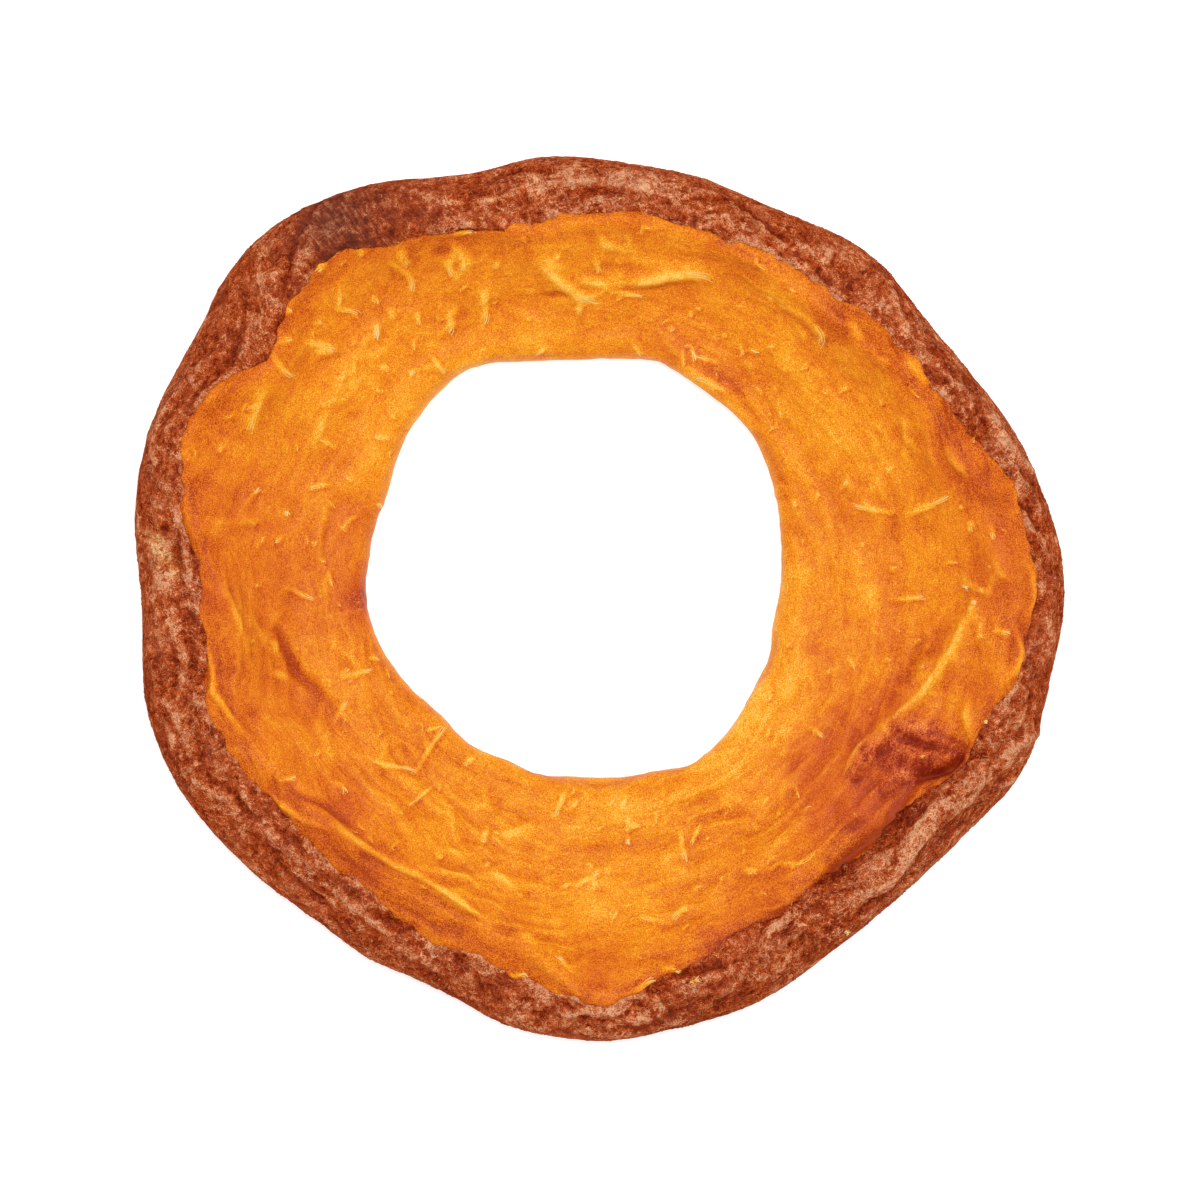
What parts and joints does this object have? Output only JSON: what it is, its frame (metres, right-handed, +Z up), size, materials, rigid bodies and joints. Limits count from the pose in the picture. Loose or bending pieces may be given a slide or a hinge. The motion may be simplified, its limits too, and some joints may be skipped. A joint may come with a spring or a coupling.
{
  "type": "dried apricot slice",
  "caption": "Dried apricot slice: an uneven ring of wrinkled flesh edged with rough skin, with a clear hole where the stone was.",
  "frame": {"origin": "under the middle of the slice's outline, on the surface it lies on", "axes": "+Z up through the slice's thickness, cut face up; +X along its longest side"},
  "size_m": [0.0457, 0.0438, 0.0057],
  "materials": {
    "dried_flesh": "chewy dried flesh, satin, fibrous, slightly see-through where thin",
    "dried_skin": "wrinkled dried skin, matt, with fine pale fuzz"
  },
  "bodies": {
    "root": {"apricot_slice": "dried_flesh"}
  },
  "joints": []
}
